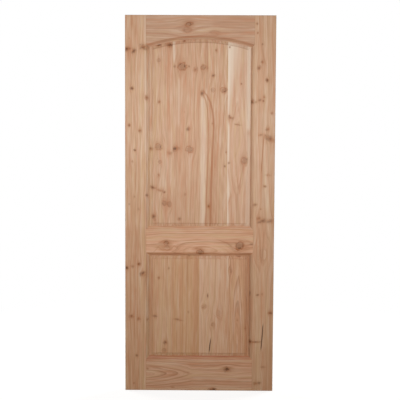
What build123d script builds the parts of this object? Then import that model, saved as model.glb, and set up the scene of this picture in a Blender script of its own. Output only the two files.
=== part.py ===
from build123d import *
from math import sqrt
import os

# A two-panel, arch-top exterior door leaf in knotty fir, built as a joiner builds it: two full-height
# stiles, three rails with their ends coped over the moulded edge of the stiles, and two raised panels
# glued up from staves that float in a groove. Millimetres. X runs from the hinge edge to the latch edge,
# Y from the outside face (negative) to the inside face, Z up from the foot of the leaf.

# Leaf: nominal 32 by 80 inches, cut a quarter inch under width to hang in its opening
leaf_width = 806
leaf_height = 2032
leaf_thickness = 44.5
arris_radius = 1.5

# Frame members: width of the flat face, up to the line where the moulded edge starts
stile_face = 112.5
bottom_rail_face = 172
lock_rail_face = 123
lock_rail_bottom = 762
crown_rail_face = 108
arch_radius = 923

# Moulded inner edge of the frame: a quirk, a flat ovolo and a land, the same on both faces
sticking_width = 18
sticking_depth = 10
quirk_depth = 2
ovolo_rise = 2.1
land_width = 2

# Groove in the middle of that edge, for the panels and for the stub tongues of the rails
groove_width = 20
groove_depth = 12

# Raised panels: a flat field, a small shoulder, a bevel and a tongue in the groove
panel_thickness = 35
bevel_width = 17
shoulder_depth = 2
tongue_clearance = 0.2
expansion_gap = 2
inner_stave_width = 148

# Run-out of the cutters past the faces that they leave
overrun = 20

half_thickness = leaf_thickness / 2
centre_x = leaf_width / 2
stile_width = stile_face + sticking_width
lock_rail_top = lock_rail_bottom + lock_rail_face
tongue_length = groove_depth - expansion_gap

# The arch is struck from one centre: flat edge, sight edge and panel tongue are concentric
crown_height = leaf_height - crown_rail_face
arch_centre_z = crown_height - arch_radius
arch_axis = Axis((centre_x, 0, arch_centre_z), (0, 1, 0))
sight_radius = arch_radius - sticking_width
springing_height = arch_centre_z + sqrt(sight_radius**2 - (centre_x - stile_face) ** 2)


def block(x_range, y_range, z_range):
    """A box between two coordinates on each axis."""
    (x0, x1), (y0, y1), (z0, z1) = x_range, y_range, z_range
    return Pos(x0, y0, z0) * Box(x1 - x0, y1 - y0, z1 - z0, align=(Align.MIN,) * 3)


def both_faces(half_section):
    """A section drawn for the inside face, with its mirror image for the outside face."""
    return half_section + mirror(half_section, about=Plane.XZ)


def opening_section(reach):
    """What the cutters leave out at a moulded edge: x from the end of the flat face into the opening."""
    groove_wall = groove_width / 2
    land = half_thickness - sticking_depth
    quirk = half_thickness - quirk_depth
    clear = half_thickness + overrun
    groove_floor = sticking_width - groove_depth
    ovolo_foot = sticking_width - land_width
    inner = Polyline(
        (reach, 0),
        (groove_floor, 0),
        (groove_floor, groove_wall),
        (sticking_width, groove_wall),
        (sticking_width, land),
        (ovolo_foot, land),
    )
    ovolo = SagittaArc((ovolo_foot, land), (0, quirk), ovolo_rise)
    outer = Polyline((0, quirk), (0, clear), (reach, clear), (reach, 0))
    return both_faces(make_face(inner + ovolo + outer))


def raising_section():
    """What the raising cutters take off a panel's edge, measured from the same line as the moulding."""
    tongue = groove_width / 2 - tongue_clearance
    field = panel_thickness / 2
    clear = field + overrun
    field_edge = sticking_width + bevel_width
    tip = sticking_width - groove_depth - overrun
    taken_off = Polyline(
        (tip, tongue),
        (sticking_width, tongue),
        (field_edge, field - shoulder_depth),
        (field_edge, clear),
        (tip, clear),
        close=True,
    )
    return both_faces(make_face(taken_off))


def along_stile(section, flat_edge, towards_opening):
    """Carries a section up the full height, from the flat edge of a stile towards its opening (+1 or -1 in X)."""
    start = Plane((flat_edge, 0, -overrun), x_dir=(towards_opening, 0, 0), z_dir=(0, 0, 1))
    return extrude(start * section, leaf_height + 2 * overrun)


def along_rail(section, flat_edge, towards_opening):
    """Carries a section along the full width, from the flat edge of a rail towards its opening (+1 or -1 in Z)."""
    start = Plane((-overrun, 0, flat_edge), x_dir=(0, 0, towards_opening), z_dir=(1, 0, 0))
    return extrude(start * section, leaf_width + 2 * overrun)


def along_arch(section):
    """Turns a section about the centre of the arch, from the flat edge at the crown down into the opening."""
    start = Plane((centre_x, 0, crown_height), x_dir=(0, 0, -1), z_dir=(1, 0, 0))
    return revolve(start * section, axis=arch_axis)


def leaf_envelope():
    """The whole leaf as one slab, with the arrises of both faces eased and its corners cut square."""
    slab = block((0, leaf_width), (-half_thickness, half_thickness), (0, leaf_height))
    return fillet(slab.edges().filter_by(Axis.Y, reverse=True), arris_radius)


def left_stile():
    blank = block((0, stile_width), (-half_thickness, half_thickness), (0, leaf_height))
    edge = along_stile(opening_section(sticking_width + overrun), stile_face, 1)
    return (leaf_envelope() & blank) - edge


def coped_rail(bottom, top, edges):
    """A rail as wide as the leaf, moulded by the given cutters, then coped to fit over and into both stiles."""
    blank = block((0, leaf_width), (-half_thickness, half_thickness), (bottom, top))
    moulded = (leaf_envelope() & blank) - edges
    return moulded - stiles


def bottom_rail():
    edge = along_rail(opening_section(sticking_width + overrun), bottom_rail_face, 1)
    return coped_rail(0, bottom_rail_face + sticking_width, edge)


def lock_rail():
    section = opening_section(sticking_width + overrun)
    edges = along_rail(section, lock_rail_top, 1) + along_rail(section, lock_rail_bottom, -1)
    return coped_rail(lock_rail_bottom - sticking_width, lock_rail_top + sticking_width, edges)


def top_rail():
    arch_drop = crown_height - springing_height
    return coped_rail(springing_height, leaf_height, along_arch(opening_section(arch_drop + overrun)))


def raised_panel(lower_edge, upper_edge, raising_at_head, head_limit=None):
    """A panel between two flat edges of the frame, seated on the groove's floor and free at sides and head."""
    inset = sticking_width - tongue_length
    seat = sticking_width - groove_depth
    section = raising_section()
    board = block(
        (stile_face + inset, leaf_width - stile_face - inset),
        (-panel_thickness / 2, panel_thickness / 2),
        (lower_edge + seat, upper_edge - inset),
    )
    if head_limit:
        board = board & head_limit
    for edge in (
        along_stile(section, stile_face, 1),
        along_stile(section, leaf_width - stile_face, -1),
        along_rail(section, lower_edge, 1),
        raising_at_head,
    ):
        board = board - edge
    return board


def upper_panel():
    tongue_radius = sight_radius + tongue_length
    disc = Cylinder(tongue_radius, leaf_thickness, rotation=(90, 0, 0))
    head = Pos(centre_x, 0, arch_centre_z) * disc
    return raised_panel(lock_rail_top, crown_height, along_arch(raising_section()), head)


def lower_panel():
    head = along_rail(raising_section(), lock_rail_bottom, -1)
    return raised_panel(bottom_rail_face, lock_rail_bottom, head)


def staves(panel):
    """Cuts a panel at its glue lines: two inner staves of set width, and outer ones ripped to fit the frame."""
    low, high = panel.bounding_box().min, panel.bounding_box().max
    stops = [low.X, centre_x - inner_stave_width, centre_x, centre_x + inner_stave_width, high.X]
    return [
        panel & block((a, b), (low.Y, high.Y), (low.Z, high.Z)) for a, b in zip(stops, stops[1:])
    ]


hinge_stile = left_stile()
latch_stile = mirror(hinge_stile, about=Plane.YZ.offset(centre_x))
stiles = hinge_stile + latch_stile

pieces = {
    "hinge_stile": hinge_stile,
    "latch_stile": latch_stile,
    "bottom_rail": bottom_rail(),
    "lock_rail": lock_rail(),
    "top_rail": top_rail(),
}
for name, panel in (("upper_panel", upper_panel()), ("lower_panel", lower_panel())):
    for number, stave in enumerate(staves(panel), 1):
        pieces[f"{name}_stave_{number}"] = stave

os.makedirs("parts", exist_ok=True)
for name, piece in pieces.items():
    export_step(piece, f"parts/{name}.step")
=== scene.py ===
import math

import bpy
import numpy as np
from mathutils import Matrix, Vector


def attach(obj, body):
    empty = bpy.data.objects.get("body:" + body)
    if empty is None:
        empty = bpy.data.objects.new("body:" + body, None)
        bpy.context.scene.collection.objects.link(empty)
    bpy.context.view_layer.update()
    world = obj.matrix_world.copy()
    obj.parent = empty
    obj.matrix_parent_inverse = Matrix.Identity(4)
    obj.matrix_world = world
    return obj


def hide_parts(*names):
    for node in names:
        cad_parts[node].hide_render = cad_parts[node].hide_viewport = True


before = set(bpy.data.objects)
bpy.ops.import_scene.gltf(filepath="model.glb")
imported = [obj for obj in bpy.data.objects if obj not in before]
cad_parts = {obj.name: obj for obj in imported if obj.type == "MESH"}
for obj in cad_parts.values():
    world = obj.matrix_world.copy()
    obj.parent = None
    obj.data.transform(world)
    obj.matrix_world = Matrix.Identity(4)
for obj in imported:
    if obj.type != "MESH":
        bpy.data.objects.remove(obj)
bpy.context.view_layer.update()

mm = 0.001  # sizes below are in millimetres, the scene is in metres

# the leaf as the joiner sets it out
leaf = {"width": 806, "height": 2032, "thick": 44.5, "arris": 1.5, "stileFace": 112.5}
rails = {"bottomFace": 172, "lockFoot": 762, "lockFace": 123, "crownFace": 108, "archRadius": 923}
moulding = {"width": 18, "quirk": 2, "radius": 20, "land": 2, "grooveWide": 20, "grooveDeep": 12}
raising = {
    "thick": 35, "bevel": 17, "shoulder": 2, "slack": 0.2, "gap": 2, "stave": 148, "eased": 0.4, "wall": 0.05,
}
# steps between mesh points, points on each curve, the angle of a sharp edge, and a distance too small to see
mesh = {
    "across": 2.2, "along": 3.5, "edge": 5, "bevel": 2.5, "ends": [0, 0.15, 0.5, 1],
    "arcPoints": 9, "groovePoints": 5, "cornerPoints": 4, "sharp": 32, "hair": 0.005,
}

halfThick = leaf["thick"] / 2
middle = leaf["width"] / 2
lockTop = rails["lockFoot"] + rails["lockFace"]
crown = leaf["height"] - rails["crownFace"]
archCentre = crown - rails["archRadius"]


# shapes


def dense(points, gap):
    # a polyline with points added along each straight run so that no step is longer than gap
    points = np.asarray(points, float)
    runs = [points[:1]]
    for a, b in zip(points, points[1:]):
        steps = max(1, math.ceil(np.hypot(*(b - a)) / gap))
        runs.append(a + (b - a) * np.linspace(0, 1, steps + 1)[1:, None])
    return np.concatenate(runs)


def mouldedEdge():
    # (into the opening, depth below the face): quirk wall, an arc of one radius, land, sight edge, groove;
    # each point lies a hair deeper than the one before it, so that depth alone tells them apart
    m, hair = moulding, mesh["hair"]
    lipDepth = halfThick - m["grooveWide"] / 2
    turn = np.linspace(0, math.asin((m["width"] - m["land"]) / m["radius"]), mesh["arcPoints"])
    arc = np.stack([m["radius"] * np.sin(turn), m["quirk"] + m["radius"] * (1 - np.cos(turn))], 1)
    floor = m["width"] - m["grooveDeep"]
    lip = [(m["width"], arc[-1, 1] + hair), (m["width"], lipDepth - hair)]
    groove = [(floor, depth) for depth in np.linspace(lipDepth, halfThick, mesh["groovePoints"])]
    return np.concatenate([[(0, 0)], arc, lip, groove])


def easedCorner():
    # quarter circle from the face round to the edge, as (in from the edge, depth below the face)
    turn = np.linspace(0, math.pi / 2, mesh["cornerPoints"])
    r = leaf["arris"]
    return np.stack([r * (1 - np.sin(turn)), r * (1 - np.cos(turn))], 1)


def closedLoop(half):
    # the front half of a section, from middle to middle, and its mirror image for the back
    back = half[-2:0:-1] * (1, -1)
    return np.concatenate([half, back])


def archHeight(x, inwards):
    # height of the arc that lies a given distance inside the arched edge
    return archCentre + np.sqrt((rails["archRadius"] - inwards) ** 2 - (x - middle) ** 2)


def copeReach(depth):
    # how far into a stile's moulded edge a rail reaches at a given depth below the face
    edge = mouldedEdge()
    return leaf["stileFace"] + np.interp(depth, edge[:, 1], edge[:, 0])


# painted shade on each moulded edge, at stops from the quirk to the sight edge, standing in for the shading
# and occlusion of the moulding
mouldingShade = {
    "stops": [0, 4, 8, 12, 16, 18],
    "hinge": [0.55, 0.5, 0.42, 0.38, 0.42, 0.65],
    "latch": [0.3, 0.3, 0.4, 0.55, 0.8, 1.1],
    "up": [0.45, 0.4, 0.45, 0.45, 0.35, 0.4],
    "down": [0.25, 0.68, 1.0, 0.45, 0.2, 0.45],
    "foot": [0.65, 0.7, 0.6, 0.65, 1.1, 1.5],
    "arch": [0.5, 0.8, 0.8, 0.5, 0.05, 0.05],
    # painted shade along the eased arris, and in the crease at each rail's shoulder
    "arris": 0.45, "arrisDeep": 2, "arrisReach": (0.5, 4),
    "shoulder": 0.5, "shoulderReach": 2.0,
    "faceSkin": 0.5,  # what lies no deeper than this is the flat face
    "inside": 0.45,  # the painted shade is weaker on the inside face
}
# and painted shade at a panel's edge, where the frame shades it: where it enters the frame, over the bevel,
# and in a line at the foot of the shoulder
panelShadeLook = {
    "side": (0.5, 0, 0.2), "foot": (0.05, 0, 0.5), "head": (0.6, 0.3, 0.1), "arch": (0.15, 0.2, 0.75),
    "entryStops": [18, 20, 24], "entry": [1, 0.25, 0],
    "bevelEnd": (34, 38), "lineStops": [33, 34.9, 35.3, 38], "line": [0, 1, 0.5, 0],
}


def frameShade(inwards, y, edge):
    # painted shade: none on the flat face, then the shades of that kind of edge across its moulding
    below = halfThick - np.abs(y) > mouldingShade["faceSkin"]
    shades = np.interp(inwards, mouldingShade["stops"], mouldingShade[edge])
    return np.where(below & (inwards > -mesh["hair"]), shades, 0)


def panelShade(inwards, fromFoot, fromHead, arched):
    # the three painted shades of whichever edge of the panel lies nearest
    d = panelShadeLook
    nearest = [inwards == fromFoot, inwards == fromHead]
    head = d["arch"] if arched else d["head"]
    entry, bevel, line = (np.select(nearest, [d["foot"][k], head[k]], d["side"][k]) for k in range(3))
    entry = entry * np.interp(inwards, d["entryStops"], d["entry"])
    line = line * np.interp(inwards, d["lineStops"], d["line"])
    return entry + bevel * (1 - smooth(*d["bevelEnd"], inwards)) + line


def arrisShade(x, y, z):
    # a little painted shade along the eased edges all round the leaf
    toEdge = np.minimum(np.minimum(x, leaf["width"] - x), np.minimum(z, leaf["height"] - z))
    nearFace = np.abs(y) > halfThick - mouldingShade["arrisDeep"]
    return mouldingShade["arris"] * (1 - smooth(*mouldingShade["arrisReach"], toEdge)) * nearFace


def stileShape(mirrored):
    # section (x, y) carried up the leaf; both ends are eased towards the faces
    edge = mouldedEdge()
    inner = np.stack([leaf["stileFace"] + edge[::-1, 0], edge[::-1, 1] - halfThick], 1)
    corner = easedCorner() + (0, -halfThick)
    half = np.concatenate([
        inner,
        dense([inner[-1], corner[0]], mesh["across"])[1:],
        corner[1:],
        dense([corner[-1], (0, 0)], mesh["edge"])[1:],
    ])
    loop = closedLoop(half)
    r = leaf["arris"]
    ends = np.array([*mesh["ends"], r])
    body = np.linspace(r, leaf["height"] - r, round(leaf["height"] / mesh["along"]))
    z = np.concatenate([ends, body[1:-1], leaf["height"] - ends[::-1]])
    toEnd = np.clip(np.minimum(z, leaf["height"] - z), 0, r)
    limit = halfThick - r + np.sqrt(r**2 - (r - toEnd) ** 2)
    x = np.repeat(loop[:, :1], len(z), 1)
    y = np.clip(np.repeat(loop[:, 1:], len(z), 1), -limit, limit)
    inwards = x - leaf["stileFace"]
    if mirrored:
        x = leaf["width"] - x
    paintedShade = frameShade(inwards, y, "latch" if mirrored else "hinge")
    return x, y, np.repeat(z[None], len(loop), 0), paintedShade


def railShape(half, heightAt, shadeAt):
    # section (height parameter, y) carried along the leaf; each point stops at the stile it is coped to
    loop = closedLoop(half)
    depth = halfThick - np.abs(loop[:, 1:])
    start = copeReach(depth)
    steps = round((leaf["width"] - 2 * leaf["stileFace"]) / mesh["along"])
    x = start + (leaf["width"] - 2 * start) * np.linspace(0, 1, steps + 1)
    y = np.repeat(loop[:, 1:], steps + 1, 1)
    height = np.repeat(loop[:, :1], steps + 1, 1)
    toEnd = np.minimum(x - start, leaf["width"] - start - x)
    # painted shade in the crease where each end of the rail meets the stile
    atEnd = mouldingShade["shoulder"] * np.exp(-((toEnd / mouldingShade["shoulderReach"]) ** 2))
    return x, y, heightAt(height, x), np.maximum(shadeAt(height, y), atEnd)


def squareEdgeHalf(faceEnd):
    # half section from the middle of a plain eased edge, at the depths of the moulded one across from it,
    # round the arris and along the face to its end
    corner = easedCorner()
    foot = np.stack([corner[::-1, 0], corner[::-1, 1] - halfThick], 1)
    depths = mouldedEdge()[:0:-1, 1]
    bare = np.stack([0 * depths, depths - halfThick], 1)
    face = dense([foot[-1], (faceEnd, -halfThick)], mesh["across"])
    return np.concatenate([bare, foot, face[1:]])


def copedEnd(loops):
    # faces over a rail's end: one behind each flat face, then strips that step down the cope at equal depths
    half, deep = loops // 2 + 1, len(mouldedEdge()) - 1
    faces = [np.arange(deep - 1, half - deep + 1), np.arange(loops - half + deep, loops - deep + 2)]
    for k in range(deep - 1):
        front = [k, k + 1, half - 2 - k, half - 1 - k]
        back = [loops - half + 1 + k, loops - half + 2 + k, loops - k - 1, (loops - k) % loops]
        faces += [np.array(front), np.array(back)]
    return faces


def bottomRailShape():
    # measured up from the foot: plain eased edge, flat face, moulded edge
    edge = mouldedEdge()
    moulded = np.stack([rails["bottomFace"] + edge[:, 0], edge[:, 1] - halfThick], 1)
    half = np.concatenate([squareEdgeHalf(rails["bottomFace"]), moulded[1:]])
    shadeAt = lambda height, y: frameShade(height - rails["bottomFace"], y, "foot")
    return railShape(half, lambda height, x: height, shadeAt)


def lockRailShape():
    # heights as they stand: the moulded edge turned down, flat face, the moulded edge turned up
    edge = mouldedEdge()
    lower = np.stack([rails["lockFoot"] - edge[::-1, 0], edge[::-1, 1] - halfThick], 1)
    upper = np.stack([lockTop + edge[:, 0], edge[:, 1] - halfThick], 1)
    face = dense([lower[-1], upper[0]], mesh["across"])
    half = np.concatenate([lower, face[1:], upper[1:]])

    def shadeAt(height, y):
        above, below = height - lockTop, rails["lockFoot"] - height
        return frameShade(above, y, "up") + frameShade(below, y, "down")

    return railShape(half, lambda height, x: height, shadeAt)


def topRailShape():
    # measured down from the top: the face stretches to the arch, and the moulding keeps concentric with it
    edge = mouldedEdge()
    faceEnd = rails["crownFace"]
    moulded = np.stack([faceEnd + edge[:, 0], edge[:, 1] - halfThick], 1)
    half = np.concatenate([squareEdgeHalf(faceEnd), moulded[1:]])

    def heightAt(down, x):
        share = np.clip(down / faceEnd, 0, 1)
        flat = leaf["height"] - down
        stretch = leaf["height"] - share * (leaf["height"] - archHeight(x, 0))
        onFace = np.where(down <= leaf["arris"], flat, stretch)
        return np.where(down > faceEnd - mesh["hair"], archHeight(x, np.maximum(down - faceEnd, 0)), onFace)

    return railShape(half, heightAt, lambda down, y: frameShade(down - faceEnd, y, "arch"))


def fieldTurns():
    # where a panel's section turns, from the frame's flat edge: bevel, foot and head of the shoulder, field
    start, wall = moulding["width"], raising["wall"]
    foot = start + raising["bevel"]
    return [start, foot - wall, foot + wall, foot + raising["eased"] + wall]


def panelThickness(inwards):
    # half thickness of a raised panel by distance from the frame's flat edge: tongue, bevel, shoulder, field
    tongue = moulding["grooveWide"] / 2 - raising["slack"]
    field = raising["thick"] / 2
    heights = [tongue, field - raising["shoulder"], field - raising["eased"], field]
    return np.interp(inwards, fieldTurns(), heights)


def edgeStops(start):
    # lines across a panel's edge, from the tongue's tip to the field
    turns = [start, *fieldTurns()]
    return dense(np.stack([turns, np.zeros(len(turns))], 1), mesh["bevel"])[:, 0]


def staveShape(lower, upper, arched, number):
    # grid over one stave of a panel: front and back are the same height field, and rows bend to the arch
    free = moulding["width"] - moulding["grooveDeep"] + raising["gap"]
    seat = moulding["width"] - moulding["grooveDeep"]
    side = edgeStops(free)
    left, right = leaf["stileFace"] + side, leaf["width"] - leaf["stileFace"] - side[::-1]
    seams = [left[0], middle - raising["stave"], middle, middle + raising["stave"], right[-1]]
    a, b = seams[number - 1], seams[number]
    inner = [max(a, left[-1]), min(b, right[0])]
    columns = np.linspace(*inner, round((inner[1] - inner[0]) / mesh["across"]) + 1)
    if number == 1:
        columns = np.concatenate([left[:-1], columns])
    if number == len(seams) - 1:
        columns = np.concatenate([columns, right[1:]])
    x = columns[:, None]
    foot = lower + edgeStops(seat)[None]
    toTip = edgeStops(free)[::-1][None]
    head = archHeight(x, toTip) if arched else upper - toTip + 0 * x
    rise = (upper - lower) / mesh["along"]
    share = np.linspace(0, 1, round(rise))[None, 1:-1]
    field = foot[:, -1:] + share * (head[:, :1] - foot[:, -1:])
    z = np.concatenate([np.repeat(foot, len(x), 0), field, head], 1)
    x = np.repeat(x, z.shape[1], 1)
    toHead = rails["archRadius"] - np.hypot(x - middle, z - archCentre) if arched else upper - z
    sides = np.minimum(x - leaf["stileFace"], leaf["width"] - leaf["stileFace"] - x)
    inwards = np.minimum(np.minimum(sides, z - lower), toHead)
    y, paintedShade = panelThickness(inwards), panelShade(inwards, z - lower, toHead, arched)
    faces = (x, x[::-1]), (-y, y[::-1]), (z, z[::-1]), (paintedShade, paintedShade[::-1])
    return tuple(np.concatenate(pair) for pair in faces)


def tubeMesh(name, x, y, z, layers, coped):
    # closed skin: loops of points down the first axis, carried along the second, and faces over each end
    loops, stations = x.shape
    index = np.arange(loops * stations).reshape(loops, stations)
    after = np.roll(index, -1, 0)
    quads = np.stack([index[:, :-1], after[:, :-1], after[:, 1:], index[:, 1:]], -1).reshape(-1)
    over = copedEnd(loops) if coped else [np.arange(loops)]
    caps = [index[face[::-1], 0] for face in over] + [index[face, -1] for face in over]
    corners = np.concatenate([quads, *caps])
    sizes = np.concatenate([np.full(len(quads) // 4, 4), [len(cap) for cap in caps]])
    starts = np.concatenate([[0], np.cumsum(sizes)[:-1]])
    points = np.stack([x, y, z], -1).reshape(-1, 3) * mm
    skin = bpy.data.meshes.new(name)
    skin.vertices.add(len(points))
    skin.vertices.foreach_set("co", points.astype(np.float32).ravel())
    skin.loops.add(len(corners))
    skin.loops.foreach_set("vertex_index", corners.astype(np.int32))
    skin.polygons.add(len(starts))
    skin.polygons.foreach_set("loop_start", starts.astype(np.int32))
    skin.polygons.foreach_set("use_smooth", np.ones(len(starts), bool))
    skin.update(calc_edges=True)
    a, b, c, d = (points[quads[k::4]] for k in range(4))
    if np.einsum("ij,ij->i", a, np.cross(b, c) + np.cross(c, d)).sum() < 0:
        skin.flip_normals()
    skin.set_sharp_from_angle(angle=math.radians(mesh["sharp"]))
    for layer, values in layers.items():
        data = skin.attributes.new(layer, "FLOAT", "POINT").data
        data.foreach_set("value", np.ascontiguousarray(values, np.float32).ravel())
    piece = bpy.data.objects.new(name, skin)
    bpy.context.scene.collection.objects.link(piece)
    return piece


# wood


def smooth(low, high, value):
    # cubic step from 0 at low to 1 at high
    t = np.clip((value - low) / (high - low), 0, 1)
    return t * t * (3 - 2 * t)


def alongPath(board, path, along):
    # where a listed line (x, z, width) crosses each height or length of the board, its width and its ends
    stops = np.array(path, float)
    a, b = (stops[:, 1], stops[:, 0]) if board["upright"] else (stops[:, 0], stops[:, 1])
    order = np.argsort(a)
    line, width = (np.interp(along, a[order], values[order]) for values in (b, stops[:, 2]))
    return line, width, a.min(), a.max()


# a knot's drift and swell from front to back, the post that the grain flows round and how softly, the tail of
# stain above and below it; then how streaks and splits fade at their ends, and how deep a split goes
knotting = {
    "none": -2, "drift": (8, 26), "swell": (-0.35, 0.25),
    "post": 1.3, "long": 1.8, "push": 1.3, "calm": 0.7,
    "tailWide": 1.3, "tailLong": 2.4, "tailStain": 0.45,
    "streakFade": 20, "splitFade": 30, "splitDeep": 0.4,
}


def woodField(board, x, y, z, draw):
    # what the timber does at each point: how far its knots push the grain aside, how far inside a knot it is
    # (1 at the heart, 0 at the bark, less outside), how dark and how open that knot is, stain with some
    # painted shade and painted highlight from streaks, and splits
    k = knotting
    upright = board["upright"]
    along, across = (z, x) if upright else (x, z)
    through = (y + halfThick) / leaf["thick"]
    field = {layer: np.zeros_like(x) for layer in ("bend", "inside", "dark", "open", "stainAndPaintedLight", "split")}
    field["inside"] += k["none"]
    listed = [(*knot, 0) for knot in board.get("knots", [])] + [(*knot, 1) for knot in board.get("eyes", [])]
    for kx, kz, radius, dark, wide, tilt, isOpen in listed:
        drift = draw.uniform(-1, 1, 2) * k["drift"]
        swell = draw.uniform(*k["swell"])
        a0, b0 = (kz, kx) if upright else (kx, kz)
        da = along - a0 - drift[1] * through
        db = across - b0 - drift[0] * through
        dx, dz = (db, da) if upright else (da, db)
        turn = math.radians(tilt)
        p = dx * math.cos(turn) + dz * math.sin(turn)
        q = dz * math.cos(turn) - dx * math.sin(turn)
        r = radius * (1 + swell * through)
        inside = 1 - np.hypot(p / (r * wide), q / r)
        nearer = inside > field["inside"]
        for layer, value in (("inside", inside), ("dark", dark), ("open", isOpen)):
            field[layer] = np.where(nearer, value, field[layer])
        # streamlines past a round post: the grain is pushed sideways by r*r over the squared distance
        post = k["post"] * r
        reach = db**2 + (da / k["long"]) ** 2
        field["bend"] -= db * k["push"] * post**2 / (reach + k["calm"] * post**2)
        tail = np.hypot(db / (r * k["tailWide"] * max(1, wide)), da / (r * k["tailLong"]))
        field["stainAndPaintedLight"] += k["tailStain"] * dark * np.exp(-(tail**2))
    for path, strength in board.get("streaks", []):
        line, width, first, last = alongPath(board, path, along)
        fade = k["streakFade"]
        ends = smooth(-fade, fade, along - first) * smooth(-fade, fade, last - along)
        field["stainAndPaintedLight"] += strength * ends * np.exp(-(((across - line) / width) ** 2))
    for path in board.get("splits", []):
        line, width, first, last = alongPath(board, path, along)
        ends = smooth(0, k["splitFade"], along - first) * smooth(0, k["splitFade"], last - along)
        opened = ends * np.exp(-(((across - line) / width) ** 2)) * (through < k["splitDeep"])
        field["split"] = np.maximum(field["split"], opened)
    return field


sunk = {"split": 2.2, "knot": 0.4, "rim": (-0.2, 0.4)}


def relief(y, field):
    # splits open into the wood and knots have shrunk a little below the face
    shrunk = sunk["knot"] * field["dark"] * smooth(*sunk["rim"], field["inside"])
    sink = sunk["split"] * field["split"] + shrunk
    return y - np.sign(y) * np.minimum(sink, np.abs(y))


# shader maths


class Wire:
    # one socket of a node tree; sums and products of wires add the nodes they need
    def __init__(self, tree, socket=None):
        self.tree, self.socket = tree, socket

    def node(self, kind, settings={}, sockets={}, out=0):
        made = self.tree.nodes.new(kind)
        for key, value in settings.items():
            setattr(made, key, value)
        for key, value in sockets.items():
            if isinstance(value, Wire):
                self.tree.links.new(value.socket, made.inputs[key])
            else:
                made.inputs[key].default_value = value
        return Wire(self.tree, made.outputs[out] if made.outputs else None)

    def maths(self, operation, *values):
        return self.node("ShaderNodeMath", {"operation": operation}, dict(enumerate(values)))

    def __add__(self, other): return self.maths("ADD", self, other)
    def __radd__(self, other): return self.maths("ADD", other, self)
    def __sub__(self, other): return self.maths("SUBTRACT", self, other)
    def __rsub__(self, other): return self.maths("SUBTRACT", other, self)
    def __mul__(self, other): return self.maths("MULTIPLY", self, other)
    def __rmul__(self, other): return self.maths("MULTIPLY", other, self)
    def __truediv__(self, other): return self.maths("DIVIDE", self, other)
    def __pow__(self, other): return self.maths("POWER", self, other)
    def __abs__(self): return self.maths("ABSOLUTE", self)

    def step(self, low, high):
        limits = {"Value": self, "From Min": low, "From Max": high}
        return self.node("ShaderNodeMapRange", {"interpolation_type": "SMOOTHSTEP"}, limits)

    def clipped(self, low=0.0, high=1.0):
        return self.node("ShaderNodeClamp", {}, {"Value": self, "Min": low, "Max": high})

    def mixed(self, share, colour, blend="MIX"):
        settings = {"data_type": "RGBA", "blend_type": blend}
        return self.node("ShaderNodeMix", settings, {0: share, 6: self, 7: colour}, 2)

    def noise(self, place, scale, detail=2, rough=0.5):
        sockets = {"Vector": place, "Scale": scale, "Detail": detail, "Roughness": rough}
        return self.node("ShaderNodeTexNoise", {}, sockets)


def emptyTree(owner):
    owner.use_nodes = True
    owner.node_tree.nodes.clear()
    return Wire(owner.node_tree)


def tint(red, green, blue):
    # a colour as a picture shows it, 0 to 255, made linear for the shader
    share = np.array([red, green, blue]) / 255
    linear = np.where(share <= 0.04045, share / 12.92, ((share + 0.055) / 1.055) ** 2.4)
    return (*linear.tolist(), 1.0)


fir = {
    "knotFlesh": tint(166, 102, 58),
    "knotGrey": tint(136, 98, 72),
    "knotHeart": tint(82, 49, 30),
    "eyeHeart": tint(168, 129, 102),
    "resinAndShade": tint(168, 102, 60),
    "pale": tint(240, 225, 206),
    "blush": tint(208, 153, 120),
    "straw": tint(217, 184, 143),
    # painted shade inside a split
    "gap": tint(50, 31, 20),
    # the colour that painted shade multiplies into the wood
    "shadeTint": (0.60, 0.49, 0.42, 1),
    "bump": 0.12, "bumpDistance": 0.0008, "specular": 0.15, "roughness": 0.62,
    "roughFibre": 0.2, "roughKnot": -0.12, "highRing": 0.5, "highFibre": 0.5, "highKnot": -0.3,
}
# noise in the wood: stretch along the grain, scale, detail and roughness
grain = {
    "sway": (0.06, 9, 2, 0.5),
    "ripple": (0.06, 45, 2, 0.5),
    "patch": (0.06, 5, 2, 0.5),
    "streaky": (0.07, 120, 2, 0.6),
    "flecks": (0.07, 95, 2, 0.6),
    "fibre": (0.035, 700, 2, 0.6),
}
# a year's ring: how it wavers, where late wood rises and falls away, its strength, and the lines within it
ringing = {
    "wander": 5, "waver": 0.8, "rise": (0.2, 0.85), "fall": (0.9, 1.0), "least": 0.25, "more": 0.75,
    "fine": 3, "fineShare": 0.2, "fibreShare": 0.5, "endGrain": (0.25, 0.5),
}
# bands of tone and hue: their gap and shift, then the weights of band, patch and streak; then colours' shares
shading = {
    "toneBand": (16, 0), "tone": (1.5, 0.9, 2.8), "hueBand": (26, 40), "hue": (1.6, 0.8, 2.6),
    "blush": 0.9, "straw": -0.75, "resinAndShade": 0.8, "pale": -1.0, "split": 1.15,
}
# knots: noise (scale, detail, roughness), its weights on their outline, then limits and shares of the colours
knotLook = {
    "lumps": (55, 1, 0.5), "crumbs": (150, 3, 0.6), "ragged": (1.2, 1.7), "grey": (-0.1, 0.15),
    "flesh": (-0.95, 0.5), "fleshShare": 0.68, "heart": (0.2, 0.9), "heartShare": 0.7,
}
# eyes: the same, with rings as place and half width, whose share grows or falls with the lumps
eyeLook = {
    "ragged": (0.45, 0.7), "flesh": (-0.5, 0.3), "fleshShare": 0.22, "heart": (0.35, 0.6), "heartShare": 0.75,
    "outer": (0.08, 0.25), "outerShare": (0.6, 1.8), "inner": (0.3, 0.22), "innerShare": (0.42, -3.6),
}


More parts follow.
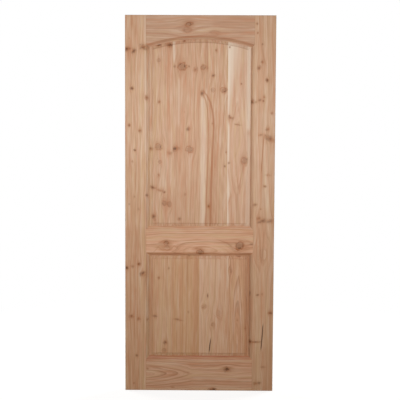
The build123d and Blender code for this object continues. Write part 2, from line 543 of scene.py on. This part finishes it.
def firMaterial(name, board):
    # growth rings are distances from a leaning pith line; knots push the rings aside through the bend layer
    made = bpy.data.materials.new(name)
    base = emptyTree(made)
    place = base.node("ShaderNodeTexCoord", {}, {}, "Object")
    x, y, z = (base.node("ShaderNodeSeparateXYZ", {}, {0: place}, k) / mm for k in range(3))
    along, across = (z, x) if board["upright"] else (x, z)
    layer = lambda key: base.node("ShaderNodeAttribute", {"attribute_name": key}, {}, "Fac")
    bend, inside, dark, isOpen = (layer(key) for key in ("bend", "inside", "dark", "open"))
    stainAndPaintedLight, split, paintedShade, ends = (layer(key) for key in ("stainAndPaintedLight", "split", "paintedShade", "ends"))

    def stretched(share):
        scale = (1, 1, share) if board["upright"] else (share, 1, 1)
        sockets = {"Vector": place, "Scale": scale, "Location": (board["seed"],) * 3}
        return base.node("ShaderNodeMapping", {}, sockets)

    sway, ripple, patch, streaky, flecks, fibre = (
        base.noise(stretched(share), *numbers) - 0.5 for share, *numbers in grain.values()
    )

    # rings about the pith, each year with a tone of its own
    r = ringing
    lean, pith, sink = board["lean"], board["pith"], board.get("sink", leaf["height"])
    pushed = across + bend + sway * board["sway"] + ripple * r["wander"]
    sideways = pushed - pith[0] - (along - pith[2]) * lean[0]
    inwards = y - pith[1] - ((along - pith[2]) * lean[1]).clipped(-sink, sink)
    radius = (sideways * sideways + inwards * inwards) ** 0.5
    rings = radius / board["ringGap"] + ripple * r["waver"]
    phase = rings.maths("FRACT", rings)
    year = rings.maths("FLOOR", rings)
    yearTone = base.node("ShaderNodeTexWhiteNoise", {"noise_dimensions": "1D"}, {"W": year})
    strength = r["least"] + yearTone * yearTone * r["more"]
    late = phase.step(*r["rise"]) * (1 - phase.step(*r["fall"])) * strength
    fine = rings.maths("PINGPONG", rings * r["fine"], 0.5) * 2 - 0.5

    def bandOf(gap, shift):
        sockets = {"W": radius / gap + (board["seed"] + shift), "Scale": 1.0, "Detail": 2.0}
        return base.node("ShaderNodeTexNoise", {"noise_dimensions": "1D"}, sockets) - 0.5

    band, patches, streaks = shading["tone"]
    tone = bandOf(*shading["toneBand"]) * band + patch * patches + streaky * streaks
    band, patches, streaks = shading["hue"]
    hue = bandOf(*shading["hueBand"]) * band + patch * patches + flecks * streaks

    blend = lambda share, a, b: base.node("ShaderNodeMix", {"data_type": "RGBA"}, {0: share, 6: a, 7: b}, 2)
    ringShare = (late * board["rings"] + fine * r["fineShare"] + fibre * r["fibreShare"]).clipped()
    wood = blend(ringShare, board["early"], board["late"])
    wood = wood.mixed((hue * (shading["blush"] * board["hue"])).clipped(), fir["blush"])
    wood = wood.mixed((hue * (shading["straw"] * board["hue"])).clipped(), fir["straw"])
    wood = wood.mixed((tone * board["contrast"]).clipped(), board["late"])
    wood = wood.mixed((tone * -board["contrast"]).clipped(), fir["pale"])
    # stain, with the painted shade and painted highlight that some streaks carry
    wood = wood.mixed((stainAndPaintedLight * shading["resinAndShade"]).clipped(), fir["resinAndShade"])
    wood = wood.mixed((stainAndPaintedLight * shading["pale"]).clipped(), fir["pale"])

    # knots: ragged, reddish, with a dark heart
    k = knotLook
    lumps, crumbs = (base.noise(place, *k[key]) - 0.5 for key in ("lumps", "crumbs"))
    ragged = inside + crumbs * k["ragged"][0] + lumps * k["ragged"][1]
    tight = dark * (1 - isOpen)
    flesh = ragged.step(*k["flesh"]) * tight
    meat = blend(lumps.step(*k["grey"]), fir["knotFlesh"], fir["knotGrey"])
    wood = wood.mixed((flesh * k["fleshShare"]).clipped(), meat)
    heart = ragged.step(*k["heart"]) * tight * tight
    wood = wood.mixed((heart * k["heartShare"]).clipped(), fir["knotHeart"])

    # eyes: an orange ring outside, a broken dark ring about a paler heart
    e = eyeLook
    rounded = inside + crumbs * e["ragged"][0] + lumps * e["ragged"][1]
    loose = dark * isOpen

    def ringAt(spot, half, share, gain):
        return ((1 - abs(rounded - spot) / half).clipped() * loose * (share + lumps * gain)).clipped()

    wood = wood.mixed((rounded.step(*e["flesh"]) * loose * e["fleshShare"]).clipped(), fir["knotFlesh"])
    wood = wood.mixed(ringAt(*e["outer"], *e["outerShare"]), fir["resinAndShade"])
    wood = wood.mixed((rounded.step(*e["heart"]) * loose * e["heartShare"]).clipped(), fir["eyeHeart"])
    wood = wood.mixed(ringAt(*e["inner"], *e["innerShare"]), fir["knotHeart"])

    # splits, painted shade in the mouldings, end grain
    # the split is painted dark for the shade inside it
    wood = wood.mixed((split * shading["split"]).clipped(), fir["gap"])
    # painted shade multiplied into the wood where the mouldings, panel edges and arrises are shaded
    wood = wood.mixed(paintedShade.clipped(), board.get("shadeTint", fir["shadeTint"]), "MULTIPLY")
    wood = wood.mixed(ends * (r["endGrain"][0] + late * r["endGrain"][1]), board["late"])
    rough = fir["roughness"] + fibre * fir["roughFibre"] + flesh * fir["roughKnot"]
    height = late * fir["highRing"] + fibre * fir["highFibre"] + flesh * fir["highKnot"]
    bump = {"Strength": fir["bump"], "Distance": fir["bumpDistance"], "Height": height}
    normal = base.node("ShaderNodeBump", {}, bump)
    skin = {"Base Color": wood, "Roughness": rough, "Normal": normal, "Specular IOR Level": fir["specular"]}
    shader = base.node("ShaderNodeBsdfPrincipled", {}, skin)
    base.node("ShaderNodeOutputMaterial", {}, {"Surface": shader})
    return made


# boards: knots and eyes (open knots) are (x, z, radius, darkness, width over height, tilt); streaks are
# a path of (x, z, width) and a strength, pale below nought; splits are a path of (x, z, width)

hingeStile = {
    "shadeTint": (0.62, 0.56, 0.52, 1),
    "upright": True, "seed": 1.3, "hue": 1.3, "early": tint(220, 182, 151), "late": tint(184, 139, 107),
    "contrast": 0.45, "rings": 0.6, "ringGap": 10, "sway": 22,
    "pith": (-90, 30, 900), "lean": (0.01, 0.02),
    "knots": [
        (10, 1853, 8, 1.0, 2.0, 0), (47, 1842, 9, 0.85, 1.1, 20), (101, 1862, 10, 0.85, 1.7, -10),
        (116, 1868, 6, 0.4, 1.2, 0), (23, 1909, 4, 0.35, 0.6, 0), (38, 1644, 7, 0.85, 1.1, 0),
        (113, 1595, 9, 1.0, 1.0, 0), (23, 1447, 6, 0.95, 1.1, 0), (79, 1419, 7, 0.9, 1.0, 30),
        (53, 1313, 5, 0.95, 1.0, 0), (38, 1252, 5, 0.45, 0.9, 0), (117, 1071, 6, 0.65, 1.2, 0),
        (50, 1063, 5, 0.3, 0.9, 0), (23, 1022, 5, 0.35, 0.8, 0), (73, 995, 5, 0.3, 0.8, 30),
        (8, 675, 7, 0.95, 1.2, 0), (40, 684, 6, 0.6, 1.3, 0), (73, 695, 8, 0.95, 1.0, 0),
        (96, 645, 9, 0.8, 1.6, 35), (106, 636, 5, 0.45, 1.2, 35), (33, 410, 7, 0.8, 1.5, 0),
        (73, 397, 7, 0.8, 1.0, 0), (120, 392, 6, 0.5, 1.0, 0), (62, 193, 5, 0.7, 1.0, 0),
        (47, 39, 5, 0.5, 1.0, 0),
    ],
    "streaks": [
        ([(108, 2032, 7), (109, 1800, 6), (110, 1300, 5)], -0.4),
        ([(56, 900, 70), (56, 700, 70), (56, 200, 70), (56, 0, 30)], 0.12),
        ([(56, 1260, 70), (56, 780, 70)], 0.1), ([(56, 1720, 70), (56, 1260, 70)], -0.06),
    ],
}

latchStile = {
    "upright": True, "seed": 4.1, "hue": 0.85, "early": tint(216, 181, 151), "late": tint(182, 136, 106),
    "contrast": 0.36, "rings": 0.5, "ringGap": 10, "sway": 26,
    "pith": (920, 40, 1000), "lean": (-0.02, 0.01),
    "knots": [
        (703, 1987, 5, 0.7, 1.0, 0), (707, 1939, 5, 0.9, 1.0, 0), (735, 1880, 5, 0.5, 0.7, 0),
        (735, 1785, 6, 0.85, 1.0, 0), (717, 1755, 8, 0.7, 1.1, 0), (763, 1690, 8, 0.95, 1.0, 0),
        (702, 1573, 5, 0.45, 1.3, 20), (722, 1584, 6, 0.65, 1.5, 25), (741, 1579, 5, 0.85, 1.0, 0),
        (745, 1600, 5, 0.9, 0.7, 30), (683, 1575, 8, 0.9, 1.0, 0), (788, 1515, 6, 0.6, 1.3, 30),
        (767, 1429, 6, 0.75, 1.3, 30), (728, 1398, 4, 0.5, 3.0, 15), (758, 1393, 4, 0.5, 2.4, -38),
        (780, 1376, 10, 0.8, 2.2, -32), (770, 1182, 4, 0.4, 3.0, -8), (753, 1122, 5, 0.8, 1.4, 0),
        (703, 1022, 5, 0.7, 2.0, 0), (732, 999, 4, 0.7, 0.8, 0), (722, 948, 7, 0.75, 1.3, 0),
        (745, 936, 9, 0.7, 1.4, 0), (728, 927, 5, 0.6, 2.0, 0), (785, 934, 9, 0.6, 2.2, 0),
        (720, 530, 4, 0.7, 2.0, 0), (744, 535, 5, 0.4, 1.0, 0),
        (790, 432, 6, 0.85, 1.8, 0), (708, 271, 3.5, 0.75, 7, 3), (680, 269, 8, 1.0, 1.3, 0),
        (753, 133, 5, 0.35, 2.2, 0), (712, 40, 7, 0.7, 1.4, 0), (733, 44, 6, 0.6, 1.6, 0),
    ],
    "eyes": [(738, 755, 34, 0.2, 0.35, 0)],
    "splits": [
        [(752, 380, 1.4), (747, 300, 2.4), (740, 215, 1.4)],
        [(679, 560, 2.0), (679, 518, 2.0)],
    ],
    "streaks": [
        ([(714, 2032, 4), (724, 1890, 4), (742, 1800, 4), (756, 1765, 4)], 0.3),
        ([(736, 1250, 4), (731, 1000, 4)], 0.3),
        ([(746, 1395, 1.8), (740, 1300, 2), (734, 1200, 1.8)], 1.0),
        ([(724, 900, 3), (739, 700, 3)], 0.35), ([(752, 880, 3), (741, 700, 3)], 0.35),
        ([(795, 2032, 10), (795, 1000, 14), (790, 0, 22)], 0.22),
        ([(750, 1520, 70), (750, 1000, 70)], -0.1), ([(750, 240, 70), (750, 0, 70)], 0.12),
    ],
}

topRail = {
    "shadeTint": (0.68, 0.54, 0.42, 1),
    "upright": False, "seed": 2.7, "hue": 0.95, "early": tint(204, 167, 141), "late": tint(171, 128, 101),
    "contrast": 0.3, "rings": 0.5, "ringGap": 11, "sway": 30,
    "pith": (1790, 60, 400), "lean": (0.015, 0.0),
    "knots": [(357, 1986, 4, 0.4, 1.4, 0)],
    "eyes": [(340, 1984, 12, 0.95, 1.7, 5), (331, 1955, 17, 0.3, 1.3, 0), (473, 1938, 12, 0.12, 1.3, 0)],
    "streaks": [([(470, 1985, 60), (600, 1985, 70), (690, 1985, 70)], 0.14)],
}

lockRail = {
    "shadeTint": (0.72, 0.6, 0.49, 1),
    "upright": False, "seed": 6.2, "hue": 1.25, "early": tint(228, 183, 153), "late": tint(188, 135, 100),
    "contrast": 0.34, "rings": 0.75, "ringGap": 11, "sway": 16,
    "pith": (780, -22, 440), "lean": (0.0, 0.17), "sink": 34,
    "knots": [(223, 817, 6, 0.75, 1.1, 0), (683, 807, 6, 0.5, 1.1, 0)],
    "eyes": [
        (223, 814, 13, 0.8, 1.1, 0), (228, 789, 15, 0.35, 1.0, 0), (620, 800, 23, 1.0, 1.15, 15),
        (407, 764, 14, 0.95, 1.5, 0),
    ],
    "streaks": [
        ([(262, 772, 2.5), (280, 802, 2.5), (330, 815, 2.5), (440, 822, 2.5), (560, 818, 2.5)], 0.45),
        ([(500, 832, 2.5), (550, 815, 3), (590, 785, 3), (630, 768, 3)], 0.5),
        ([(150, 758, 3), (180, 790, 3), (205, 772, 3)], 0.45),
        ([(240, 775, 3), (268, 798, 3), (290, 778, 3)], 0.45),
        ([(160, 782, 3), (190, 800, 3)], 0.35), ([(300, 770, 2.5), (350, 788, 2.5), (400, 784, 2.5)], 0.35),
        ([(113, 872, 30), (693, 872, 30)], 0.17),
        ([(640, 835, 2.5), (680, 822, 2.5)], 0.35), ([(645, 775, 2.5), (690, 788, 2.5)], 0.35),
    ],
}

bottomRail = {
    "shadeTint": (0.71, 0.47, 0.41, 1),
    "upright": False, "seed": 8.8, "hue": 1.2, "early": tint(222, 182, 155), "late": tint(186, 137, 109),
    "contrast": 0.35, "rings": 1.0, "ringGap": 10, "sway": 22,
    "pith": (92, -22, 40), "lean": (0.0, 0.16), "sink": 52,
    "knots": [
        (557, 119, 12, 1.0, 1.0, 0), (260, 19, 5, 0.5, 1.4, 0), (477, 5, 8, 0.9, 2.0, 0),
        (122, 119, 5, 0.45, 1.0, 0),
    ],
    "streaks": [
        ([(113, 140, 3), (200, 130, 3), (300, 112, 3), (356, 93, 3)], 0.55),
        ([(113, 40, 3), (200, 50, 3), (300, 72, 3), (356, 91, 3)], 0.55),
        ([(113, 112, 2.5), (230, 104, 2.5), (290, 93, 2.5)], 0.25),
        ([(113, 68, 2.5), (230, 80, 2.5), (290, 91, 2.5)], 0.25),
        ([(380, 118, 2.5), (470, 132, 2.5), (557, 148, 2.5), (640, 138, 2.5), (693, 140, 2.5)], 0.3),
        ([(400, 88, 2.5), (500, 92, 2.5), (580, 84, 2.5), (650, 100, 2.5), (693, 102, 2.5)], 0.3),
        ([(430, 60, 2.5), (540, 58, 2.5), (620, 66, 2.5), (693, 74, 2.5)], 0.25),
    ],
}

upperStaves = [
    {
        "upright": True, "seed": 11.0, "hue": 1.3, "early": tint(215, 178, 149), "late": tint(183, 137, 106),
        "contrast": 0.45, "rings": 0.6, "ringGap": 10, "sway": 34,
        "pith": (60, 40, 1400), "lean": (0.02, 0.01),
        "knots": [
            (180, 1873, 9, 1.2, 1.3, 0), (242, 1877, 9, 1.05, 1.5, 15), (183, 1572, 6, 0.8, 1.0, 0),
            (138, 1319, 7, 0.7, 1.8, 0), (240, 1299, 7, 0.5, 1.6, 0), (181, 1180, 5, 0.6, 1.0, 0),
            (150, 1112, 6, 0.8, 2.2, -12), (186, 1098, 5, 0.6, 3.2, -14), (212, 1085, 5, 0.8, 1.2, 0),
            (152, 957, 8, 0.85, 1.2, 30), (162, 935, 5, 0.25, 1.0, 0), (224, 1026, 5, 0.45, 2.2, 10),
        ],
        "eyes": [
            (182, 1797, 11, 0.5, 0.9, 0), (180, 1332, 18, 0.6, 1.05, 0), (186, 1249, 10, 0.5, 1.0, 0),
            (211, 1029, 15, 0.5, 0.9, 0), (238, 1024, 15, 0.5, 0.8, 0),
        ],
        "streaks": [
            # the first streak is painted shade in a line down the panel's left shoulder; the second lightens
            # a strip beside it
            ([(154, 1880, 11), (154, 910, 11)], 0.14), ([(134, 1880, 6), (134, 910, 6)], -0.06),
            ([(200, 1420, 60), (200, 1120, 60)], -0.1),
            ([(151, 1342, 3), (167, 1420, 3), (170, 1550, 3), (177, 1615, 3)], 0.28),
            ([(216, 1355, 3), (196, 1407, 3), (190, 1550, 3), (183, 1602, 3)], 0.28),
        ],
    },
    {
        "upright": True, "seed": 12.4, "hue": 1.1, "early": tint(213, 176, 147), "late": tint(183, 137, 106),
        "contrast": 0.4, "rings": 0.55, "ringGap": 11, "sway": 30,
        "pith": (200, 55, 1400), "lean": (0.015, -0.01),
        "knots": [
            (343, 1761, 4, 0.7, 1.0, 0), (267, 1759, 5, 0.5, 1.0, 0), (319, 1900, 6, 1.0, 1.0, 0),
            (320, 1519, 3, 0.5, 0.6, 0), (340, 1429, 8, 0.7, 1.1, 0), (270, 1322, 11, 0.9, 1.6, 20),
            (323, 1075, 5, 0.4, 1.0, 0), (292, 942, 6, 0.7, 1.2, 0), (377, 1742, 9, 0.6, 1.0, 0),
        ],
        "eyes": [(305, 1761, 22, 0.85, 1.1, 0), (347, 1322, 17, 0.6, 1.3, 0)],
        "streaks": [
            ([(325, 1150, 60), (325, 905, 60)], 0.08), ([(259, 1920, 9), (262, 1790, 6)], -0.5),
            ([(290, 1700, 8), (286, 1450, 8)], -0.25),
        ],
    },
    {
        "upright": True, "seed": 13.9, "hue": 1.4, "early": tint(212, 175, 146), "late": tint(178, 131, 98),
        "contrast": 0.45, "rings": 0.6, "ringGap": 11, "sway": 26,
        "pith": (560, 45, 1400), "lean": (0.01, 0.02),
        "knots": [
            (440, 1752, 6, 0.3, 1.0, 0), (489, 1847, 5, 0.8, 1.0, 0), (473, 1712, 6, 0.8, 1.1, 0),
            (413, 1622, 11, 0.75, 1.0, 0), (530, 1635, 6, 0.6, 1.0, 0), (470, 1459, 5, 0.4, 0.8, 0),
            (451, 1010, 6, 1.0, 1.0, 0), (543, 1304, 4, 0.7, 1.0, 0), (538, 1228, 5, 0.7, 0.8, 20),
        ],
        "eyes": [(420, 1755, 14, 0.65, 1.2, 0), (470, 1637, 12, 0.45, 1.1, 0), (530, 1635, 15, 0.6, 1.3, 0)],
        "streaks": [
            ([(420, 1632, 4), (440, 1606, 5), (457, 1572, 5), (468, 1530, 5), (475, 1480, 6), (477, 1430, 6),
              (474, 1370, 6), (470, 1310, 6), (466, 1200, 8), (463, 1100, 9), (460, 905, 9)], 0.8),
            ([(420, 1610, 3), (433, 1580, 3), (442, 1530, 3), (446, 1460, 3), (446, 1300, 3), (440, 1100, 4),
              (436, 905, 5)], 0.78),
            ([(438, 1920, 4), (441, 1780, 4), (436, 1640, 4)], 0.55),
            ([(416, 1600, 10), (420, 1400, 13), (418, 905, 13)], -0.42),
            ([(486, 1400, 10), (484, 1100, 12), (482, 905, 12)], 0.18),
        ],
    },
    {
        "upright": True, "seed": 15.1, "hue": 1.3, "early": tint(217, 181, 154), "late": tint(185, 138, 108),
        "contrast": 0.3, "rings": 0.45, "ringGap": 13, "sway": 14,
        "pith": (608, -22, 1340), "lean": (0.0, 0.12), "sink": 32,
        "knots": [
            (559, 1862, 4, 0.9, 1.0, 0), (622, 1671, 4, 0.8, 1.0, 0), (560, 1500, 5, 0.7, 0.7, 35),
            (566, 1490, 5, 0.8, 1.6, -30), (575, 1488, 4, 0.5, 2.0, 25), (604, 1453, 3, 0.6, 4.5, -10),
            (557, 1245, 5, 0.55, 1.3, 30),
        ],
        "eyes": [(643, 1259, 21, 0.65, 0.85, 0)],
        "streaks": [
            ([(546, 1900, 64), (546, 1780, 45), (546, 1650, 25), (547, 1560, 15), (548, 1500, 10)], -0.9),
            ([(550, 1470, 10), (555, 1380, 7), (552, 1290, 9), (549, 1200, 6), (556, 1090, 11),
              (551, 1040, 6), (554, 905, 8)], -0.75),
            # these two streaks at the right edge are a painted highlight down the panel's right bevel
            ([(664, 1900, 13), (664, 1420, 11)], -0.7), ([(664, 1400, 11), (664, 905, 11)], -0.42),
            ([(561, 1485, 5), (560, 1455, 5)], 0.5),
            ([(592, 1300, 3), (602, 1180, 3), (612, 1105, 3)], 0.4), ([(636, 1230, 3), (613, 1105, 3)], 0.4),
            ([(578, 1470, 3), (600, 1570, 3)], 0.3), ([(640, 1380, 3), (602, 1570, 3)], 0.25),
            ([(560, 1110, 3), (570, 1072, 3), (560, 1030, 3)], 0.4),
        ],
    },
]

lowerStaves = [
    {
        "upright": True, "seed": 21.2, "hue": 1.05, "early": tint(216, 176, 143), "late": tint(181, 134, 100),
        "contrast": 0.34, "rings": 0.55, "ringGap": 10, "sway": 22,
        "pith": (80, 40, 450), "lean": (0.02, 0.0),
        "knots": [
            (183, 621, 5, 0.85, 1.0, 0), (160, 411, 6, 0.55, 1.7, 0), (220, 267, 8, 0.75, 1.1, 0),
            (237, 671, 5, 0.5, 1.0, 0),
        ],
        "eyes": [(212, 223, 10, 0.5, 1.2, 0)],
        # the first streak is painted shade down the panel's left bevel
        "streaks": [([(141, 745, 9), (141, 200, 9)], 0.32), ([(200, 460, 50), (200, 190, 50)], -0.08)],
    },
    {
        "upright": True, "seed": 22.5, "hue": 0.75, "early": tint(213, 169, 133), "late": tint(178, 128, 92),
        "contrast": 0.3, "rings": 0.5, "ringGap": 11, "sway": 18,
        "pith": (130, 60, 450), "lean": (0.01, 0.0),
        "knots": [
            (345, 742, 5, 0.95, 0.7, 0), (280, 394, 3.5, 0.6, 4.0, -5), (300, 388, 2.5, 0.4, 6.0, -8),
            (343, 432, 5, 0.45, 1.0, 0),
        ],
        "streaks": [([(340, 745, 14), (338, 560, 12)], 0.2), ([(392, 745, 8), (392, 200, 8)], 0.2)],
    },
    {
        "upright": True, "seed": 23.6, "hue": 0.95, "early": tint(222, 184, 155), "late": tint(186, 140, 111),
        "contrast": 0.35, "rings": 0.5, "ringGap": 11, "sway": 30,
        "pith": (640, 40, 385), "lean": (0.02, 0.03),
        "knots": [(427, 462, 6, 0.5, 2.0, 20), (473, 362, 6, 0.45, 1.0, 0), (449, 525, 5, 0.6, 0.6, 0)],
        "eyes": [(430, 466, 13, 0.25, 1.4, 20), (476, 364, 10, 0.35, 1.0, 0), (512, 425, 18, 0.18, 1.0, 30)],
        "splits": [[(449, 548, 1.5), (449, 500, 1.5)], [(468, 300, 1.2), (462, 250, 2.4), (457, 200, 2.4)]],
        "streaks": [
            ([(480, 420, 4), (520, 392, 4), (545, 385, 4)], 0.25), ([(404, 745, 12), (404, 200, 12)], -0.25),
        ],
    },
    {
        "upright": True, "seed": 24.9, "hue": 0.65, "early": tint(216, 170, 138), "late": tint(172, 118, 85),
        "contrast": 0.4, "rings": 0.75, "ringGap": 7.5, "sway": 14,
        "pith": (612, -22, 60), "lean": (0.0, 0.06),
        "knots": [(618, 740, 7, 0.95, 1.0, 0), (610, 392, 4, 0.4, 1.0, 0), (655, 347, 4, 0.4, 1.0, 0)],
        "eyes": [(570, 660, 10, 0.15, 0.9, 0)],
        # the second streak is painted shade down the panel's right bevel
        "streaks": [([(552, 745, 9), (553, 560, 5)], -0.4), ([(664, 745, 14), (664, 200, 14)], 0.5)],
    },
]


def makeBoard(node, board, shape, draw):
    # one board of the leaf: its skin, what its timber does there, and its own cut of fir
    x, y, z, paintedShade = shape
    field = woodField(board, x, y, z, draw)
    # painted shade of the mouldings, panel edges and arrises, weaker on the inside face
    field["paintedShade"] = np.maximum(paintedShade, arrisShade(x, y, z)) * np.where(y > 0, mouldingShade["inside"], 1)
    toEnd = np.minimum(z, leaf["height"] - z)
    field["ends"] = toEnd < mesh["hair"] if node.endswith("stile") else 0 * z
    piece = tubeMesh(node + "_wood", x, relief(y, field), z, field, node.endswith("rail"))
    piece.data.materials.append(firMaterial(node + "_fir", board))
    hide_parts(node)
    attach(piece, "root")
    print(node, "points", len(piece.data.vertices))
    return piece


draw = np.random.default_rng(806)
makeBoard("hinge_stile", hingeStile, stileShape(False), draw)
makeBoard("latch_stile", latchStile, stileShape(True), draw)
makeBoard("top_rail", topRail, topRailShape(), draw)
makeBoard("lock_rail", lockRail, lockRailShape(), draw)
makeBoard("bottom_rail", bottomRail, bottomRailShape(), draw)
for number, (upperBoard, lowerBoard) in enumerate(zip(upperStaves, lowerStaves), 1):
    upperShape = staveShape(lockTop, crown, True, number)
    lowerShape = staveShape(rails["bottomFace"], rails["lockFoot"], False, number)
    makeBoard(f"upper_panel_stave_{number}", upperBoard, upperShape, draw)
    makeBoard(f"lower_panel_stave_{number}", lowerBoard, lowerShape, draw)
print("boards made")


# floor, light and camera

floorPaper = {"half": 6.0, "colour": (0.2, 0.2, 0.2, 1), "glow": 0.87, "near": 1.2, "far": 2.6}
air = {"ambient": 0.12}
# soft boxes: the key hangs close to the upper panel, so light falls off downwards, and two stand behind the
# leaf for its edges and its back
softBoxes = {
    "key": {
        "place": (0.40, -1.25, 1.51), "aim": (0.40, 0, 1.49),
        "side": 0.8, "power": 8.1, "colour": (0.955, 1.03, 1.15),
    },
    "fill": {
        "place": (0.40, -4.6, 1.5), "aim": (0.40, 0, 1.1),
        "side": 2.4, "power": 76, "colour": (1, 0.808, 0.592),
    },
    "right": {
        "place": (4.0, 2.6, 4.2), "aim": (0.40, 0, 1.1),
        "side": 2.0, "power": 195, "colour": (1, 0.94, 0.88),
    },
    "left": {
        "place": (-3.4, 2.4, 3.6), "aim": (0.40, 0, 1.1),
        "side": 2.0, "power": 150, "colour": (1, 0.94, 0.88),
    },
}


def whereSeen(base):
    # 1 for what the camera, a reflection or a clear material looks at, 0 for light on its way
    path = lambda key: base.node("ShaderNodeLightPath", {}, {}, key)
    return (path("Is Camera Ray") + path("Is Glossy Ray") + path("Is Transmission Ray")).clipped()


def makeFloor():
    # one large square at the foot of the leaf; paper white where it is seen, less the leaf's shadow near by
    half, centre = floorPaper["half"], (middle * mm, 0, 0)
    corners = np.array([(-half, -half, 0), (half, -half, 0), (half, half, 0), (-half, half, 0)])
    skin = bpy.data.meshes.new("studio_floor")
    skin.from_pydata((corners + centre).tolist(), [], [(0, 1, 2, 3)])
    floor = bpy.data.objects.new("studio_floor", skin)
    bpy.context.scene.collection.objects.link(floor)
    paper = bpy.data.materials.new("floor_paper")
    base = emptyTree(paper)
    dull = base.node("ShaderNodeBsdfDiffuse", {}, {"Color": floorPaper["colour"]})
    glow = base.node("ShaderNodeEmission", {}, {"Strength": floorPaper["glow"]})
    lit = base.node("ShaderNodeAddShader", {}, {0: dull, 1: glow})
    white = base.node("ShaderNodeEmission", {}, {"Strength": 1.0})
    place = base.node("ShaderNodeTexCoord", {}, {}, "Object")
    away = base.node("ShaderNodeVectorMath", {"operation": "DISTANCE"}, {0: place, 1: centre}, "Value")
    farOff = away.step(floorPaper["near"], floorPaper["far"])
    seen = base.node("ShaderNodeMixShader", {}, {0: farOff, 1: lit, 2: white})
    shader = base.node("ShaderNodeMixShader", {}, {0: whereSeen(base), 1: dull, 2: seen})
    base.node("ShaderNodeOutputMaterial", {}, {"Surface": shader})
    skin.materials.append(paper)


def makeWorld():
    world = bpy.data.worlds.new("studio")
    base = emptyTree(world)
    soft = base.node("ShaderNodeBackground", {}, {"Color": (1, 1, 1, 1), "Strength": air["ambient"]})
    white = base.node("ShaderNodeBackground", {}, {"Color": (1, 1, 1, 1), "Strength": 1.0})
    shader = base.node("ShaderNodeMixShader", {}, {0: whereSeen(base), 1: soft, 2: white})
    base.node("ShaderNodeOutputWorld", {}, {"Surface": shader})
    bpy.context.scene.world = world


def makeSoftBox(name, box):
    lamp = bpy.data.lights.new(name, "AREA")
    lamp.shape = "SQUARE"
    lamp.size, lamp.energy, lamp.color = box["side"], box["power"], box["colour"]
    lit = bpy.data.objects.new(name, lamp)
    lit.location = box["place"]
    lit.rotation_mode = "QUATERNION"
    lit.rotation_quaternion = (Vector(box["aim"]) - Vector(box["place"])).to_track_quat("-Z", "Y")
    lit.visible_camera = False
    bpy.context.scene.collection.objects.link(lit)


viewpoint = {
    "place": (427.4, -3794.9, 1267.6), "pitch": -3.35, "yaw": -0.35, "roll": 0.28, "lens": 63, "sensor": 36,
}


def makeCamera():
    # forward from yaw and pitch, right level, then both turned by the roll
    pitch, yaw, roll = (math.radians(viewpoint[key]) for key in ("pitch", "yaw", "roll"))
    forward = Vector((math.sin(yaw) * math.cos(pitch), math.cos(yaw) * math.cos(pitch), math.sin(pitch)))
    right = Vector((math.cos(yaw), -math.sin(yaw), 0))
    up = right.cross(forward)
    right, up = (
        right * math.cos(roll) + up * math.sin(roll),
        up * math.cos(roll) - right * math.sin(roll),
    )
    lens = bpy.data.cameras.new("eye")
    lens.lens, lens.sensor_width = viewpoint["lens"], viewpoint["sensor"]
    camera = bpy.data.objects.new("eye", lens)
    turn = Matrix((right, up, -forward)).transposed().to_4x4()
    camera.matrix_world = Matrix.Translation(Vector(viewpoint["place"]) * mm) @ turn
    bpy.context.scene.collection.objects.link(camera)
    bpy.context.scene.camera = camera


makeFloor()
makeWorld()
for name, box in softBoxes.items():
    makeSoftBox(name, box)
makeCamera()
bpy.context.scene.view_settings.view_transform = "Standard"
print("floor, light and camera made")
